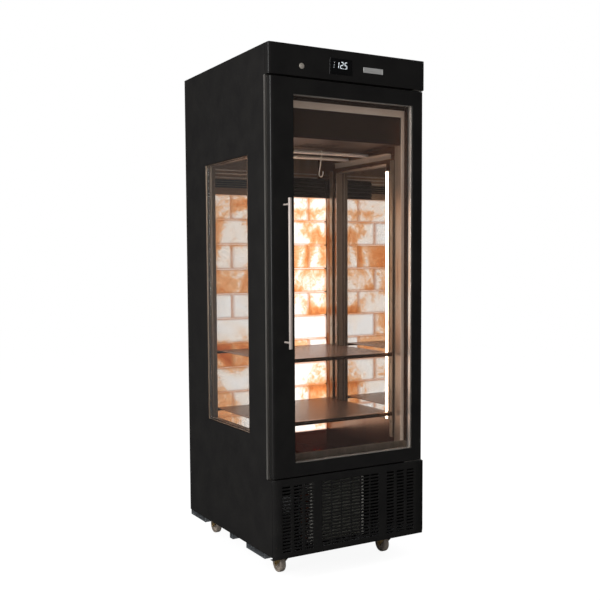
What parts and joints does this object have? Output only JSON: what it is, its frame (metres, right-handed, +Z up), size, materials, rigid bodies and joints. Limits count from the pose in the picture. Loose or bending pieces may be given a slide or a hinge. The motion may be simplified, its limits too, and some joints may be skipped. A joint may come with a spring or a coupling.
{
  "type": "dry aging cabinet",
  "caption": "Tall black refrigerated cabinet on castors with a glass door, side windows, a lit salt wall, shelves and hanging bars, and a machine compartment behind a slotted base.",
  "frame": {"origin": "middle of the footprint, handle included, on the floor under the castors", "axes": "+Z up, the door faces -Y, +X to the right seen from the front"},
  "size_m": [0.73, 0.854, 2.08],
  "materials": {
    "black_paint": "satin powder coat",
    "stainless_steel": "polished sheet",
    "glass": "clear",
    "light_cover": "diffuse",
    "yellow_zinc": "yellow passivated zinc",
    "wheel_polymer": "satin",
    "brake_lever": "satin",
    "galvanised_steel": "galvanised",
    "dark_plastic": "gloss",
    "chrome": "polished",
    "aluminium": "mill finish",
    "black_rubber": "matt",
    "machine_black": "satin",
    "rock_salt": "rough, glowing when lit from behind"
  },
  "bodies": {
    "cabinet": {"left_side_skin": "black_paint", "right_side_skin": "black_paint", "back_skin": "black_paint", "roof_panel": "black_paint", "base_grille": "black_paint", "head_fascia": "black_paint", "face_frame": "stainless_steel", "chamber_shell": "stainless_steel", "left_wall": "stainless_steel", "right_wall": "stainless_steel", "left_window_frame": "stainless_steel", "right_window_frame": "stainless_steel", "upper_hinge_plate": "stainless_steel", "lower_hinge_plate": "stainless_steel", "evaporator_cover": "stainless_steel", "front_upright_left": "stainless_steel", "rear_upright_left": "stainless_steel", "front_upright_right": "stainless_steel", "rear_upright_right": "stainless_steel", "shelf_lower": "stainless_steel", "shelf_upper": "stainless_steel", "hanging_rail_left": "stainless_steel", "hanging_rail_right": "stainless_steel", "left_window_glass": "glass", "right_window_glass": "glass", "light_strip_left": "light_cover", "light_strip_right": "light_cover", "chassis": "galvanised_steel", "condenser_shroud": "galvanised_steel", "display_module": "dark_plastic", "air_outlet": "dark_plastic", "hanging_bar_front": "chrome", "hanging_bar_rear": "chrome", "condenser_coil": "aluminium", "evaporator_coil": "aluminium", "compressor": "machine_black", "evaporator_motor": "machine_black", "salt_wall": "rock_salt"},
    "door": {"door_frame": "black_paint", "strike_plate": "stainless_steel", "door_front_pane": "glass", "door_rear_pane": "glass", "door_glass_spacer": "aluminium", "door_gasket": "black_rubber", "door_handle": "stainless_steel"},
    "lock": {"door_lock": "chrome"},
    "castor_front_left": {"castor_front_left_fork": "yellow_zinc"},
    "castor_front_left_wheel": {"castor_front_left_wheel": "wheel_polymer"},
    "castor_front_left_brake": {"castor_front_left_brake": "brake_lever"},
    "castor_rear_left": {"castor_rear_left_fork": "yellow_zinc"},
    "castor_rear_left_wheel": {"castor_rear_left_wheel": "wheel_polymer"},
    "castor_front_right": {"castor_front_right_fork": "yellow_zinc"},
    "castor_front_right_wheel": {"castor_front_right_wheel": "wheel_polymer"},
    "castor_front_right_brake": {"castor_front_right_brake": "brake_lever"},
    "castor_rear_right": {"castor_rear_right_fork": "yellow_zinc"},
    "castor_rear_right_wheel": {"castor_rear_right_wheel": "wheel_polymer"},
    "condenser_fan": {"condenser_fan": "machine_black"},
    "evaporator_fan": {"evaporator_fan": "machine_black"},
    "hook_front": {"hanging_hook_front": "chrome"},
    "hook_rear": {"hanging_hook_rear": "chrome"}
  },
  "joints": [
    {"name": "door_hinge", "type": "hinge", "parent": "cabinet", "child": "door", "pos_m": [0.35, -0.363, 0.4225], "axis": [0, 0, 1], "range_deg": [0, 110]},
    {"name": "lock_turn", "type": "hinge", "parent": "cabinet", "child": "lock", "pos_m": [-0.222, -0.375, 2.002], "axis": [0, 1, 0], "range_deg": [0, 90]},
    {"name": "castor_front_left_swivel", "type": "hinge", "parent": "cabinet", "child": "castor_front_left", "pos_m": [-0.256, -0.26, 0.09], "axis": [0, 0, 1], "continuous": true},
    {"name": "castor_front_left_roll", "type": "hinge", "parent": "castor_front_left", "child": "castor_front_left_wheel", "pos_m": [-0.256, -0.232, 0.03678], "axis": [1, 0, 0], "continuous": true},
    {"name": "castor_front_left_brake_press", "type": "hinge", "parent": "castor_front_left", "child": "castor_front_left_brake", "pos_m": [-0.256, -0.229, 0.08025], "axis": [-1, 0, 0], "range_deg": [0, 18], "stiffness_Nm_per_rad": 0.5},
    {"name": "castor_rear_left_swivel", "type": "hinge", "parent": "cabinet", "child": "castor_rear_left", "pos_m": [-0.256, 0.352, 0.09], "axis": [0, 0, 1], "continuous": true},
    {"name": "castor_rear_left_roll", "type": "hinge", "parent": "castor_rear_left", "child": "castor_rear_left_wheel", "pos_m": [-0.256, 0.38, 0.03678], "axis": [1, 0, 0], "continuous": true},
    {"name": "castor_front_right_swivel", "type": "hinge", "parent": "cabinet", "child": "castor_front_right", "pos_m": [0.256, -0.26, 0.09], "axis": [0, 0, 1], "continuous": true},
    {"name": "castor_front_right_roll", "type": "hinge", "parent": "castor_front_right", "child": "castor_front_right_wheel", "pos_m": [0.256, -0.232, 0.03678], "axis": [1, 0, 0], "continuous": true},
    {"name": "castor_front_right_brake_press", "type": "hinge", "parent": "castor_front_right", "child": "castor_front_right_brake", "pos_m": [0.256, -0.229, 0.08025], "axis": [-1, 0, 0], "range_deg": [0, 18], "stiffness_Nm_per_rad": 0.5},
    {"name": "castor_rear_right_swivel", "type": "hinge", "parent": "cabinet", "child": "castor_rear_right", "pos_m": [0.256, 0.352, 0.09], "axis": [0, 0, 1], "continuous": true},
    {"name": "castor_rear_right_roll", "type": "hinge", "parent": "castor_rear_right", "child": "castor_rear_right_wheel", "pos_m": [0.256, 0.38, 0.03678], "axis": [1, 0, 0], "continuous": true},
    {"name": "condenser_fan_spin", "type": "hinge", "parent": "cabinet", "child": "condenser_fan", "pos_m": [-0.04, -0.24, 0.2525], "axis": [0, 1, 0], "continuous": true},
    {"name": "evaporator_fan_spin", "type": "hinge", "parent": "cabinet", "child": "evaporator_fan", "pos_m": [0, -0.118, 1.84], "axis": [0, 0, 1], "continuous": true},
    {"name": "hook_front_swing", "type": "hinge", "parent": "cabinet", "child": "hook_front", "pos_m": [0.06, -0.053, 1.7273], "axis": [1, 0, 0], "range_deg": [-25, 25]},
    {"name": "hook_rear_swing", "type": "hinge", "parent": "cabinet", "child": "hook_rear", "pos_m": [-0.12, 0.107, 1.7273], "axis": [1, 0, 0], "range_deg": [-25, 25]}
  ]
}
